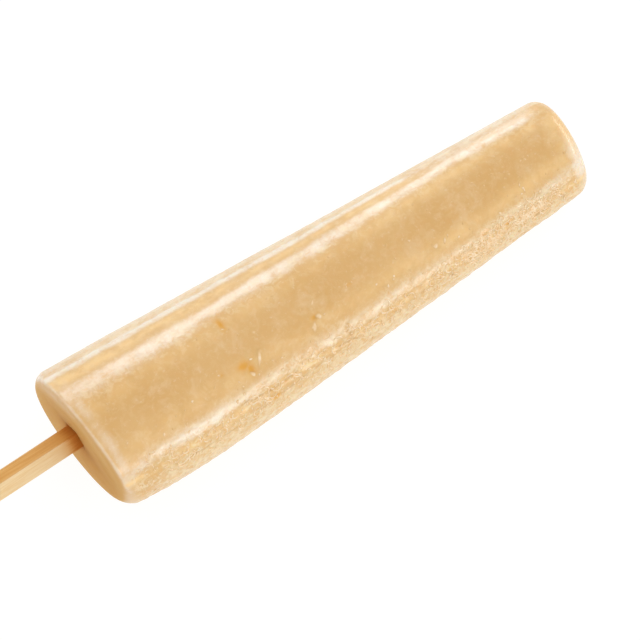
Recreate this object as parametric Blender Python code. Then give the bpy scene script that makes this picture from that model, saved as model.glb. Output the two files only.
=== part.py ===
"""Kulfi on a stick: a tapered bar of frozen milk that sets in a metal mould around a square bamboo stick.

The bar lies on its side, as it has to when nobody holds it. +X runs along the bar from its mouth, where
the stick goes in, to its tip. +Z is up. The origin is below the middle of the box around bar and stick,
on the surface that they rest on.
"""

from math import cos, exp, pi, radians, sin

import bmesh
import bpy
from mathutils import Matrix, Vector

# The frozen bar: a cone from the mould, mouth at -X and tip at +X.
BAR_LENGTH = 0.1196
MOUTH_RADIUS = 0.01753
TIP_RADIUS = 0.01067
REST_CUT = 0.00035  # how far the bar has settled on its lowest line, which leaves a flat strip
SIDE_BOW = 0.00021  # how far the bar bends towards -Y
BOW_SKEW = 0.68  # under 1 it moves the bend from the middle of the bar towards its mouth

# The mouth end has melted back a little all round, and most on its -Y side.
MOUTH_MELT = 0.00034
MOUTH_MELT_RIGHT = 0.00175
MELT_REACH = 0.0126
MELT_FADE = 1.5

# Rounded rims, and end faces that bulge and slant a little.
MOUTH_ROUND_LEFT = 0.0030
MOUTH_ROUND_RIGHT = 0.0037
MOUTH_ROUND_TOP = 0.0026
TIP_ROUND = 0.0033
MOUTH_SLANT = -0.070
TIP_SLANT = 0.060
SLANT_FADE = 3
MOUTH_DOME = 0.0004
TIP_DOME = 0.0003

# The square bamboo stick, a corner up, and its socket in the bar.
STICK_WIDTH = 0.0039
STICK_CORNER = 0.0002
STICK_INSIDE = 0.068
STICK_OUTSIDE = 0.078
STICK_LEFT = 0.0023  # from the middle of the mouth towards +Y
STICK_ABOVE = 0.0015
STICK_YAW = radians(1.0)
STICK_RISE = radians(2.7)
STICK_TURN = radians(45 + 6)
SOCKET_GAP = 0.0003

# How finely the solids are cut.
SEGMENTS = 56
SIDE_RINGS = 24
ROUND_RINGS = 6
FACE_RINGS = 4
SMOOTH_ANGLE = radians(40)


def clear_scene():
    for obj in list(bpy.data.objects):
        bpy.data.objects.remove(obj, do_unlink=True)


def plain_material(name, colour, roughness):
    material = bpy.data.materials.new(name)
    material.use_nodes = True
    shader = material.node_tree.nodes["Principled BSDF"]
    shader.inputs["Base Color"].default_value = (*colour, 1)
    shader.inputs["Roughness"].default_value = roughness
    shader.inputs["Metallic"].default_value = 0
    return material


def add_object(name, mesh, material):
    obj = bpy.data.objects.new(name, mesh)
    mesh.materials.append(material)
    bpy.context.scene.collection.objects.link(obj)
    return obj


def along(x):
    """How far x lies along the bar, from 0 at its mouth to 1 at its tip."""
    return min(max(x / BAR_LENGTH + 0.5, 0), 1)


def cone_radius(x):
    return MOUTH_RADIUS + (TIP_RADIUS - MOUTH_RADIUS) * along(x)


def rightness(angle):
    """1 on the -Y side of the bar and 0 on its +Y side; angle is measured from +Y."""
    return (1 - cos(angle)) / 2


def side_radius(x, angle):
    melt = MOUTH_MELT + MOUTH_MELT_RIGHT * rightness(angle) ** 2
    return cone_radius(x) - melt * exp(-((along(x) * BAR_LENGTH / MELT_REACH) ** MELT_FADE))


def mouth_round(angle):
    flank = MOUTH_ROUND_LEFT + (MOUTH_ROUND_RIGHT - MOUTH_ROUND_LEFT) * rightness(angle)
    upness = max(sin(angle), 0) ** 2
    return flank + (MOUTH_ROUND_TOP - flank) * upness


def bar_centre(x):
    """The middle of the round section at x. Its lowest point is REST_CUT under the floor."""
    return Vector((x, -SIDE_BOW * sin(pi * along(x) ** BOW_SKEW), cone_radius(x) - REST_CUT))


def on_bar(x, radius, angle):
    y = radius * cos(angle)
    slant = MOUTH_SLANT * (1 - along(x)) ** SLANT_FADE + TIP_SLANT * along(x) ** SLANT_FADE
    return bar_centre(x) + Vector((slant * y, y, radius * sin(angle)))


def bar_line(angle):
    """Points down the bar at one angle, from next to the middle of the mouth to next to the tip's."""
    mouth = -BAR_LENGTH / 2
    tip = BAR_LENGTH / 2
    mouth_rim = mouth_round(angle)
    mouth_side = side_radius(mouth + mouth_rim, angle)
    tip_side = side_radius(tip - TIP_ROUND, angle)
    line = []
    for ring in range(1, FACE_RINGS + 1):
        part = ring / FACE_RINGS
        line.append((mouth - MOUTH_DOME * (1 - part**2), (mouth_side - mouth_rim) * part))
    for ring in range(1, ROUND_RINGS + 1):
        turn = pi / 2 * ring / ROUND_RINGS
        line.append((mouth + mouth_rim * (1 - cos(turn)), mouth_side - mouth_rim * (1 - sin(turn))))
    for ring in range(1, SIDE_RINGS):
        x = mouth + mouth_rim + (BAR_LENGTH - mouth_rim - TIP_ROUND) * ring / SIDE_RINGS
        line.append((x, side_radius(x, angle)))
    for ring in range(ROUND_RINGS + 1):
        turn = pi / 2 * ring / ROUND_RINGS
        line.append((tip - TIP_ROUND * (1 - sin(turn)), tip_side - TIP_ROUND * (1 - cos(turn))))
    for ring in range(FACE_RINGS - 1, 0, -1):
        part = ring / FACE_RINGS
        line.append((tip + TIP_DOME * (1 - part**2), (tip_side - TIP_ROUND) * part))
    return [on_bar(x, radius, angle) for x, radius in line]


def cut_flat(body):
    """Takes off what is under the floor and closes the cut with one flat face."""
    everything = body.verts[:] + body.edges[:] + body.faces[:]
    cut = bmesh.ops.bisect_plane(
        body, geom=everything, dist=1e-7, plane_co=(0, 0, 0), plane_no=(0, 0, -1), clear_outer=True
    )
    edges = [part for part in cut["geom_cut"] if isinstance(part, bmesh.types.BMEdge)]
    bmesh.ops.contextual_create(body, geom=edges)


def make_bar():
    body = bmesh.new()
    lines = []
    for segment in range(SEGMENTS):
        angle = 2 * pi * segment / SEGMENTS
        lines.append([body.verts.new(point) for point in bar_line(angle)])
    mouth_middle = body.verts.new(on_bar(-BAR_LENGTH / 2, 0, 0) - Vector((MOUTH_DOME, 0, 0)))
    tip_middle = body.verts.new(on_bar(BAR_LENGTH / 2, 0, 0) + Vector((TIP_DOME, 0, 0)))
    for line, following in zip(lines, lines[1:] + lines[:1]):
        body.faces.new((mouth_middle, line[0], following[0]))
        body.faces.new((tip_middle, following[-1], line[-1]))
        for ring in range(len(line) - 1):
            body.faces.new((line[ring], line[ring + 1], following[ring + 1], following[ring]))
    cut_flat(body)
    bmesh.ops.recalc_face_normals(body, faces=body.faces[:])
    mesh = bpy.data.meshes.new("kulfi")
    body.to_mesh(mesh)
    body.free()
    mesh.shade_smooth()
    mesh.set_sharp_from_angle(angle=SMOOTH_ANGLE)
    return add_object("kulfi", mesh, plain_material("frozen_milk", (0.74, 0.46, 0.21), 0.42))


def square_bar(name, width, inside, outside):
    """A square bar along X through the middle of the mouth, from inside the kulfi to outside it."""
    body = bmesh.new()
    bmesh.ops.create_cube(body, size=1)
    bmesh.ops.scale(body, vec=(inside + outside, width, width), verts=body.verts[:])
    bmesh.ops.translate(body, vec=((inside - outside) / 2, 0, 0), verts=body.verts[:])
    mesh = bpy.data.meshes.new(name)
    body.to_mesh(mesh)
    body.free()
    return mesh


def lay_along_stick(obj):
    """Places a bar made along X on the stick's line, a corner up."""
    mouth = bar_centre(-BAR_LENGTH / 2) + Vector((0, STICK_LEFT, STICK_ABOVE))
    turned = Matrix.Rotation(STICK_TURN, 4, "X")
    aimed = Matrix.Rotation(STICK_YAW, 4, "Z") @ Matrix.Rotation(STICK_RISE, 4, "Y")
    obj.matrix_world = Matrix.Translation(mouth) @ aimed @ turned


def make_stick():
    mesh = square_bar("stick", STICK_WIDTH, STICK_INSIDE, STICK_OUTSIDE)
    stick = add_object("stick", mesh, plain_material("bamboo", (0.70, 0.46, 0.22), 0.55))
    lay_along_stick(stick)
    softened = stick.modifiers.new("softened_corners", "BEVEL")
    softened.width = STICK_CORNER
    softened.segments = 2
    return stick


def cut_socket(bar):
    """The blind hole that the stick stands in, wider than the stick by SOCKET_GAP all round."""
    beyond_mouth = 4 * MOUTH_ROUND_RIGHT
    width = STICK_WIDTH + 2 * SOCKET_GAP
    mesh = square_bar("socket_cutter", width, STICK_INSIDE + SOCKET_GAP, beyond_mouth)
    cutter = bpy.data.objects.new("socket_cutter", mesh)
    bpy.context.scene.collection.objects.link(cutter)
    lay_along_stick(cutter)
    cutter.hide_render = True
    cutter.display_type = "WIRE"
    cutter.parent = bar
    cut = bar.modifiers.new("socket", "BOOLEAN")
    cut.operation = "DIFFERENCE"
    cut.solver = "EXACT"
    cut.object = cutter


def hang_on_origin(objects):
    """Parents the pieces to an empty that puts the middle of their box over the origin."""
    bpy.context.view_layer.update()
    corners = [obj.matrix_world @ Vector(corner) for obj in objects for corner in obj.bound_box]
    middle_x = (min(c.x for c in corners) + max(c.x for c in corners)) / 2
    middle_y = (min(c.y for c in corners) + max(c.y for c in corners)) / 2
    origin = bpy.data.objects.new("kulfi_on_stick", None)
    bpy.context.scene.collection.objects.link(origin)
    for obj in objects:
        obj.parent = origin
    origin.location = (-middle_x, -middle_y, 0)


clear_scene()
kulfi = make_bar()
stick = make_stick()
cut_socket(kulfi)
hang_on_origin([kulfi, stick])
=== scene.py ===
"""Kulfi on a stick: a bar of frozen reduced milk, unmoulded, lying on a pale table with its stick."""

import random
from math import cos, pi, radians, sin

import bmesh
import bpy
import numpy as np
from mathutils import Matrix, Vector, noise


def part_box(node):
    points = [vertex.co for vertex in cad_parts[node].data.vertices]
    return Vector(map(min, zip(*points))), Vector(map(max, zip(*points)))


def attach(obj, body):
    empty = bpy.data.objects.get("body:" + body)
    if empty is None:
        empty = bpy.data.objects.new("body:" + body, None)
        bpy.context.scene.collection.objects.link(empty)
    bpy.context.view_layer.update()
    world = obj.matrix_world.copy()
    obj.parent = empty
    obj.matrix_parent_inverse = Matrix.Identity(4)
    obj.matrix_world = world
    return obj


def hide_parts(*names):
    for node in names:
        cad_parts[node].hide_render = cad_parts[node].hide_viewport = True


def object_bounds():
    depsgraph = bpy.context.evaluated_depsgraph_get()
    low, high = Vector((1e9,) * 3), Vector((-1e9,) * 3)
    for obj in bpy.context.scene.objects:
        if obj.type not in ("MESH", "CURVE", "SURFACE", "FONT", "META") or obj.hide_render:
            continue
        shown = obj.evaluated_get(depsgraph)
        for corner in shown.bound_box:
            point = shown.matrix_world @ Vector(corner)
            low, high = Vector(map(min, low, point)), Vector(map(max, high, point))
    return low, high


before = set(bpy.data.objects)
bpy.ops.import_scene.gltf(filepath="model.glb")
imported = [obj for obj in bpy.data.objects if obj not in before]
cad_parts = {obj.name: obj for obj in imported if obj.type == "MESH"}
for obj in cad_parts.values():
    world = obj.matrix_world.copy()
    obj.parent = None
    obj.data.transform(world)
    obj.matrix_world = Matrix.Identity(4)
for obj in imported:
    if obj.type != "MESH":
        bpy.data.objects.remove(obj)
solid_low, solid_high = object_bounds()


# The bar. Sweet milk, boiled down and frozen in a tapered metal mould, then pulled out by its stick.
# Its side keeps the mould's cone, its seam line and its dents; its rims have melted round.

bar_low, bar_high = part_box("kulfi")

BAR_LENGTH = 0.1194
MOUTH_RADIUS = 0.01741
TIP_RADIUS = 0.01055
FLOOR_SINK = 0.00035
SIDE_BOW = 0.00021
BOW_SKEW = 0.68

MOUTH_MELT = 0.00034
MOUTH_MELT_RIGHT = 0.00175
MELT_REACH = 0.0126
MELT_FADE = 1.5

MOUTH_ROUND_LEFT = 0.0030
MOUTH_ROUND_RIGHT = 0.0037
MOUTH_ROUND_TOP = 0.0024
RIM_CRISP = 2.3
TIP_ROUND = 0.0033
MOUTH_SLANT = -0.070
TIP_SLANT = 0.060
SLANT_FADE = 3
MOUTH_DOME = 0.0004
TIP_DOME = 0.0003

AROUND = 276
SIDE_RINGS = 270
ROUND_RINGS = 15
RIM_STEPS = 20  # steps in working out a rim for each of its rings
MOUTH_RINGS = 34
FINE_SHARE = 0.40  # the inner share of the mouth face that takes two thirds of its rings
TIP_RINGS = 16
LEAST_HEIGHT = 0.00003
MM = 1000  # millimetres in a metre


def band(values, centre, width):
    """1 at the centre, falling away to 0 like a bell."""
    return np.exp(-(((values - centre) / width) ** 2))


def step(values, low, high):
    """0 below low and 1 above high, easing from one to the other."""
    t = np.clip((values - low) / (high - low), 0, 1)
    return t * t * (3 - 2 * t)


def along(x):
    """0 at the mouth and 1 at the tip."""
    return np.clip(x / BAR_LENGTH + 0.5, 0, 1)


def cone_radius(x):
    """The mould's radius there, before anything melted."""
    return MOUTH_RADIUS + (TIP_RADIUS - MOUTH_RADIUS) * along(x)


def rightness(turn):
    """1 on the bar's right side, -Y, and 0 on its left; turn is the angle from straight up towards +Y."""
    return (1 - np.sin(turn)) / 2


def side_radius(x, turn):
    """The bar's radius there: the mould's, less what has melted next to the mouth."""
    melt = MOUTH_MELT + MOUTH_MELT_RIGHT * rightness(turn) ** 2
    return cone_radius(x) - melt * np.exp(-((along(x) * BAR_LENGTH / MELT_REACH) ** MELT_FADE))


def mouth_round(turn):
    """How wide the mouth's rounded rim is at this turn."""
    flank = MOUTH_ROUND_LEFT + (MOUTH_ROUND_RIGHT - MOUTH_ROUND_LEFT) * rightness(turn)
    return flank + (MOUTH_ROUND_TOP - flank) * np.maximum(np.cos(turn), 0) ** 2


def rim_curve(crisp):
    """How far a rim has come in from the mouth and out from the axis at each ring, in parts of its size.

    At 1 it is a quarter circle; above 1 it bends most next to the side, as a rim cut by the mould does.
    """
    steps = RIM_STEPS * ROUND_RINGS
    share = np.linspace(0, 1, steps + 1)
    bend = share**crisp * pi / 2
    halfway = (bend[1:] + bend[:-1]) / 2
    inward = np.concatenate([[0], np.cumsum(np.sin(halfway))])
    outward = np.concatenate([[0], np.cumsum(np.cos(halfway))])
    picks = np.round(np.linspace(0, 1, ROUND_RINGS + 1) ** (1 / crisp) * steps).astype(int)
    scale = inward[-1] if crisp == 1 else outward[-1]
    return inward[picks] / scale, outward[picks] / outward[-1]


def column_turns():
    """Turns round the bar, closer together where its skin shows most detail."""
    degrees = np.linspace(-180, 180, 3601)
    density = 0.5 + 0.55 * (1 - step(np.abs(degrees), 80, 110))
    density += 0.50 * band(degrees, -56, 15) + 0.25 * band(degrees, 54, 12)
    total = np.concatenate([[0], np.cumsum((density[1:] + density[:-1]) / 2)])
    return np.radians(np.interp(np.arange(AROUND) / AROUND * total[-1], total, degrees))


def on_bar(x, radius, turn):
    """Where a point x along the bar lies, with its end faces slanted and the bar a little bowed."""
    y = radius * np.sin(turn)
    z = radius * np.cos(turn)
    slant = MOUTH_SLANT * (1 - along(x)) ** SLANT_FADE + TIP_SLANT * along(x) ** SLANT_FADE
    bow = -SIDE_BOW * np.sin(pi * along(x) ** BOW_SKEW)
    return np.stack([x + slant * y, y + bow, z + cone_radius(x) - FLOOR_SINK], axis=-1)


def bar_rings(turn):
    """Rings from the middle of the mouth to the middle of the tip, each as (x, radius) for every turn."""
    mouth = -BAR_LENGTH / 2
    tip = BAR_LENGTH / 2
    rim = mouth_round(turn)
    crisp_share = step(np.cos(turn), 0.15, 0.65)
    round_in, round_out = rim_curve(1)
    crisp_in, crisp_out = rim_curve(RIM_CRISP)
    rim_depth = rim * (1 + (crisp_in[-1] - 1) * crisp_share)
    mouth_side = side_radius(mouth + rim_depth, turn)
    tip_side = side_radius(tip - TIP_ROUND, turn)
    rings = []
    near_stick = np.linspace(0, FINE_SHARE, MOUTH_RINGS * 2 // 3 + 1)[1:]
    beyond = np.linspace(FINE_SHARE, 1, MOUTH_RINGS - len(near_stick) + 1)[1:]
    for part in np.concatenate([near_stick, beyond]):
        rings.append((mouth - MOUTH_DOME * (1 - part**2) + 0 * turn, (mouth_side - rim) * part))
    for ring in range(1, ROUND_RINGS + 1):
        inward = round_in[ring] + (crisp_in[ring] - round_in[ring]) * crisp_share
        outward = round_out[ring] + (crisp_out[ring] - round_out[ring]) * crisp_share
        rings.append((mouth + rim * inward, mouth_side - rim * (1 - outward)))
    for part in np.linspace(0, 1, SIDE_RINGS + 1)[1:-1]:
        x = mouth + rim_depth + (BAR_LENGTH - rim_depth - TIP_ROUND) * part
        rings.append((x, side_radius(x, turn)))
    for bend in np.linspace(0, pi / 2, ROUND_RINGS + 1):
        rings.append((tip - TIP_ROUND * (1 - sin(bend)) + 0 * turn, tip_side - TIP_ROUND * (1 - cos(bend))))
    for part in np.linspace(1, 0, TIP_RINGS + 1)[1:-1]:
        rings.append((tip + TIP_DOME * (1 - part**2) + 0 * turn, (tip_side - TIP_ROUND) * part))
    return np.array([ring[0] for ring in rings]), np.array([ring[1] for ring in rings])


turns = column_turns()
ring_x, ring_radius = bar_rings(turns)
ring_turn = np.broadcast_to(turns, ring_x.shape)
smooth_points = on_bar(ring_x, ring_radius, ring_turn)

# The made-up bar is centred in the solid's box, and all else is placed from the middle of its mouth.
smooth_low = smooth_points.min(axis=(0, 1))
smooth_high = smooth_points.max(axis=(0, 1))
shift = np.array([
    (bar_low.x + bar_high.x - smooth_low[0] - smooth_high[0]) / 2,
    (bar_low.y + bar_high.y - smooth_low[1] - smooth_high[1]) / 2,
    0,
])


def noise_field(points, size, seed, octaves=2):
    """Cloudy noise from about -1 to 1, with lumps of this size in metres."""
    offset = Vector((seed * 7.31, seed * 3.17, seed * 5.53))
    flat = (points / size).reshape(-1, 3)
    values = [noise.fractal(Vector(point) + offset, 0.9, 2.1, octaves) for point in flat]
    return np.array(values).reshape(points.shape[:-1])


def x_of(place):
    """How far along +X a place is that lies this many mm from the mouth."""
    return place / MM - BAR_LENGTH / 2


# Relief, in metres outwards. Places are millimetres from the mouth and degrees from straight up.
far = (ring_x + BAR_LENGTH / 2) * MM
round_about = np.degrees(ring_turn)
arc = ring_turn * cone_radius(ring_x) * MM
on_side = step(far, 1.2, 4.0) * (1 - step(far, 115, 118.5))
off_end = np.where(far > 60, step(ring_radius, 0.0056, 0.0076), 1.0)
on_skin = step(far, 0.3, 1.2) * off_end
line_points = on_bar(ring_x, ring_radius, 0 * ring_turn)
wander = noise_field(line_points, 0.013, 3) * 1.5
patches = noise_field(smooth_points, 0.0038, 14)
mottle = noise_field(smooth_points, 0.0016, 17)
long_patches = noise_field(smooth_points * np.array([0.30, 1, 1]), 0.0036, 24)

# Long lines left by the mould: the wide band, laid with frost and a painted highlight, the seam with lines
# beside it, and the groove.
WIDE_BAND_TURN = 26.4
WIDE_BAND_RISE = 13.5
SEAM_TURN = 51.7
SEAM_RISE = 2.2
LOW_BAND_TURN = -44.0
GROOVE_TURN = -53.5
wide_rise = WIDE_BAND_RISE * np.clip(far / 93, 0, 1) ** 2.2
from_wide = round_about - (WIDE_BAND_TURN + wide_rise + 0.5 * wander)
from_seam = round_about - (SEAM_TURN + SEAM_RISE * step(far, 50, 80) + 0.6 * wander)
dents = noise_field(smooth_points, 0.016, 11)
low_middle = LOW_BAND_TURN - 9 * band(far, 0, 6)
from_low = round_about - low_middle + 6 * dents * step(far, 55, 85)
from_groove = round_about - (GROOVE_TURN + 1.2 * wander - 3.5 * ((far - 45) / 55) ** 2)
seam_share = 1 - step(far, 77, 97)
seam = band(from_seam, 0, 2.8) * seam_share
seam_lines = band(from_seam + mottle, 6.5, 2.4) + 0.6 * band(from_seam + mottle, 14, 2.8)
# How many degrees further up the wide band's soft upper edge starts at each place.
soft_start = 1.8 * (1 - step(far, 22, 32)) + 1.9 * step(far, 42, 50) * (1 - step(far, 68, 78)) - 0.6
hollow = step(from_wide + 2.0 * long_patches - soft_start, 3.5, 14)
hollow = hollow * (1 - step(from_seam + patches, -9, -0.5)) * (0.12 + 0.88 * seam_share)
groove = band(from_groove + 1.2 * mottle, 0, 3.7) * (0.35 + 0.65 * step(long_patches, -0.40, 0.3))

# The crumbly skin: below the groove, beyond the seam, on the curls near the tip, and along each line.
strip_edge = from_groove + 3 * patches
rough_strip = step(-strip_edge, 3, 9) * (1 - step(-round_about, 118, 135))
left_strip = step(from_seam + 3 * patches, 4, 14) * (1 - step(round_about, 118, 135))
curls = band(round_about + 7 * dents + 4 * patches, -53, 13) * step(far + 4 * patches, 88, 97)
curls = curls * (1 - 0.6 * step(far, 106, 110)) * (1 - step(far, 111, 115))
curls = curls * np.clip(0.75 + 0.7 * patches, 0.15, 1)
rough = 0.75 * rough_strip + 0.25 * left_strip + 0.7 * curls
rough = rough + 0.55 * band(from_low + 6 * patches, -2, 9) + 0.40 * band(from_wide + 6 * patches, -5, 9)
rough = rough + 0.50 * band(from_groove, 0, 6) + 0.35 * band(from_seam, 2, 7)
at_tip = step(far + 2 * patches, 113.5, 116.5) * band(round_about, -34, 34) * off_end
rough = rough + 0.10 * at_tip + 0.07
rough = np.clip(rough, 0, 1) * np.maximum(on_side, at_tip * (ring_radius > TIP_RADIUS - 0.002))

ripples = noise_field(smooth_points, 0.0042, 12)
grains = noise_field(smooth_points, 0.0011, 15, 3)
drawn = noise_field(smooth_points * np.array([0.10, 1, 1]), 0.0013, 18)
relief = 0.00006 * dents * on_side + 0.000022 * ripples * (0.4 + 0.6 * on_side)
relief += 0.000016 * drawn * left_strip * on_side
relief += on_side * (0.00013 * seam - 0.00001 * seam_lines * seam_share - 0.00006 * hollow)
relief += on_side * (0.00006 * band(from_low, 0, 6) - 0.00015 * groove)
relief += rough * (0.00006 * grains + 0.00012 * mottle + 0.00009 * patches)
curly = np.clip(curls + 0.35 * rough_strip + 0.30 * band(from_low, 0, 8) + 0.15 * at_tip, 0, 1)
relief += curly * on_side * 0.00008 * (mottle + 0.6 * grains)

# The mouth's rim: a low lip of milk that froze against the mould's edge, most of all on top.
lip_place = np.zeros_like(far)
lip_place[MOUTH_RINGS:MOUTH_RINGS + ROUND_RINGS] = np.linspace(0, 1, ROUND_RINGS)[:, None]
on_top = step(np.cos(ring_turn), 0.05, 0.6)
upper_rim = band(round_about, 38, 40)
lip = band(lip_place, 0.66 - 0.14 * upper_rim, 0.30 + 0.08 * upper_rim)
lip = lip * step(round_about, -82, -52) * (1 - step(round_about, 75, 105))
lip = lip * np.clip(0.80 + 0.55 * patches + 0.25 * mottle, 0, 1.3)
relief += 0.00013 * lip * on_top

# The pits that this bar came out of its mould with: place, turn, length and width in mm, depth in metres.
PITS = [
    (34.3, -22.5, 1.4, 0.9, 0.00024),
    (35.2, -27.5, 0.8, 1.3, 0.00020),
    (35.1, 13.5, 0.6, 1.5, 0.00020),
    (51.9, -20.5, 0.8, 0.5, 0.00018),
    (29.2, -19.2, 0.5, 0.4, 0.00012),
    (37.9, -62.0, 1.2, 0.6, 0.00028),
    (36.2, -59.5, 0.7, 0.5, 0.00018),
    (61.9, -12.9, 1.0, 0.4, 0.00008),
    (92.5, -44.0, 1.2, 0.6, 0.00012),
    (98.0, -50.0, 1.4, 0.6, 0.00014),
]
AMBER_DEPTH = 0.00020  # a pit this deep or deeper shows the full amber of the milk in it
amber = np.zeros_like(far)
for place, turn, length, width, depth in PITS:
    beside = arc - radians(turn) * cone_radius(ring_x) * MM
    pit = np.exp(-(((far - place) / length) ** 2) - (beside / width) ** 2)
    relief -= depth * pit
    tinted = np.clip(1.15 * pit * (1 + 0.4 * mottle), 0, 1) * min(depth / AMBER_DEPTH, 1)
    amber = np.maximum(amber, tinted)

# The cracks where it began to break from the mould. Each has a width in mm, a depth in metres,
# and a line of (place, turn).
CRACKS = [
    (0.22, 0.00020, [(14.6, -64.3), (19.7, -64.6), (24.9, -65.2),
                     (30.1, -64.4), (35.3, -63.5), (40.5, -62.4)]),
    (0.24, 0.00018, [(40.5, -62.4), (45.0, -61.2), (48.6, -60.5), (52.0, -61.5)]),
    (0.26, 0.00026, [(28.8, -50.0), (30.3, -48.3), (31.7, -48.0), (32.3, -50.2)]),
    (0.26, 0.00026, [(32.5, -51.2), (34.2, -50.8), (35.8, -52.4), (38.6, -52.6), (43.5, -52.2)]),
    (0.26, 0.00030, [(55.9, -43.0), (56.8, -47.0), (57.3, -52.6)]),
    (0.26, 0.00026, [(57.9, -46.5), (57.4, -49.5), (57.1, -55.0)]),
    (0.28, 0.00026, [(53.9, -56.2), (57.0, -57.2), (58.6, -61.8), (61.0, -62.6)]),
    (0.26, 0.00016, [(65.0, -57.0), (67.5, -60.5), (69.0, -64.5)]),
    (0.26, 0.00016, [(71.5, -53.5), (74.0, -57.5), (75.0, -61.5)]),
    (0.24, 0.00016, [(83.0, -57.0), (86.0, -58.0), (88.0, -56.5)]),
    (0.26, 0.00020, [(102.0, -60.5), (104.5, -57.5), (105.5, -53.5)]),
    (0.26, 0.00022, [(101.0, -66.5), (104.5, -66.0), (108.5, -66.5)]),
]
CRACK_DEPTH = 0.00030  # a crack this deep or deeper shows the full colour of one
cracks = np.zeros_like(far)
for width, depth, line in CRACKS:
    nearest = np.full_like(far, 99.0)
    for (place, turn), (next_place, next_turn) in zip(line, line[1:]):
        start_arc = radians(turn) * cone_radius(x_of(place)) * MM
        end_arc = radians(next_turn) * cone_radius(x_of(next_place)) * MM
        run = next_place - place
        climb = end_arc - start_arc
        share = ((far - place) * run + (arc - start_arc) * climb) / (run**2 + climb**2)
        share = np.clip(share, 0, 1)
        away = np.hypot(far - place - share * run, arc - start_arc - share * climb)
        nearest = np.minimum(nearest, away)
    nearest = nearest + 0.16 * mottle + 0.07 * grains
    broken = step(patches + 0.6 * mottle, -0.55, 0.25)
    opened = band(np.maximum(nearest, 0), 0, width) * on_side * broken
    relief -= 0.6 * depth * opened
    cracks = np.maximum(cracks, opened * min(depth / CRACK_DEPTH, 1))

# How pale, white or creamy the skin is, each from 0 to 1: ice and crumbs on it, and painted highlight and
# painted sheen along its bands, seam, rim and tip.
# The wide band: frost with a painted highlight, laid along where the left strip lamps' reflection falls.
sheen_band_place = from_wide + 2.2 * long_patches + 0.8 * patches + 1.0 * mottle
band_frost_and_sheen = step(sheen_band_place, -14, 0.5) * (1 - step(sheen_band_place - soft_start, 0.5, 10))
band_frost_and_sheen = band_frost_and_sheen * (1 - step(far, 113.5, 117))
# Above the band towards the tip: frost and painted sheen.
above_sheen_band = step(from_wide, -2, 4) * (1 - seam_share)
above_sheen_band = above_sheen_band * (1 - step(far, 113, 117)) * (1 - step(round_about, 100, 120))
beyond_seam = 1 - step(round_about, 105, 125)
near_low = from_low + 3 * patches
# Paleness: the wide band's frost and painted highlight, painted sheen beyond the seam, and frost with a
# painted highlight along the low band.
pale = np.maximum(0.95 * band_frost_and_sheen, 0.72 * above_sheen_band)
pale = np.maximum(pale, 0.52 * step(from_seam, 1, 6) * (1 - step(round_about, 100, 120)))
pale = np.maximum(pale, (0.45 + 0.35 * step(far, 104, 110)) * band(near_low, 0.5, 7.5))
pale = pale * (0.85 + 0.25 * patches) * on_skin

cream = np.maximum(0.75 * rough_strip, 0.80 * curls)
cream = np.maximum(cream, 0.50 * band(near_low, 0.5, 8.5))
cream = np.maximum(cream, 0.80 * step(from_seam, -2, 5) * beyond_seam)
cream = np.clip(cream * (0.85 + 0.35 * patches), 0, 1) * on_skin * (0.35 + 0.65 * step(far, 3, 14))

# Just beyond the mouth's rim, a painted sheen; on the rim's lip, the rim line's painted highlight.
rim_pale = band(far, 2.5, 1.3) * step(round_about, -62, -40) * (1 - step(round_about, 75, 105)) * on_skin
pale = np.maximum(pale, 0.50 * rim_pale * (1 + 0.5 * patches))
pale = np.clip(np.maximum(pale, 0.90 * lip), 0, 1)

# White along the seam, the low band and the wide band, on the rim's lip and on the tip: a painted highlight
# over some frost.
seam_line = 1.2 * band(from_seam + 0.8 * mottle, 0.0, 4.2) + 0.28 * step(from_seam, 9, 18) * beyond_seam
frost_and_highlight = np.clip(seam_line * seam_share * (0.85 + 0.45 * patches), 0, 1) * on_skin
low_white = (0.62 - 0.34 * step(far, 22, 45)) * band(near_low, 1, 6) * (1 - step(far, 80, 95))
band_highlight_white = (0.32 + 0.18 * step(far, 40, 50)) * band_frost_and_sheen * step(far, 6, 20)
whiter = np.maximum(band_highlight_white, low_white)
whiter = np.maximum(whiter, 0.22 * above_sheen_band) * np.clip(0.9 + 0.6 * patches, 0, 1.4) * on_skin
# On the lip, whiter on its upper side: the rim line's painted highlight.
rim_white = (0.10 + 0.35 * step(round_about, 40, 58)) * lip
frost_and_highlight = np.maximum(np.maximum(frost_and_highlight, whiter), rim_white)
# The tip's rounded end: frost with a painted highlight.
tip_pale = step(far + 1.5 * patches, 114.5, 117) * band(round_about, -38, 34) * off_end
frost_and_highlight = np.maximum(frost_and_highlight, 0.85 * tip_pale * (1 - step(ring_radius, TIP_RADIUS, TIP_RADIUS + 0.0006)))

# Clear amber skin: beside the bands, in the hollow and along the groove.
beside_bands = band(from_wide, -15, 8) + band(from_low, 17, 9)
clear = 0.85 * hollow + 1.0 * groove + (0.35 + 0.25 * step(far, 55, 85)) * beside_bands * on_side
clear = np.maximum(clear, 0.60 * step(far, 112, 116) * band(round_about, 15, 42))
clear = np.clip(clear, 0, 1) * on_skin

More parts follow.
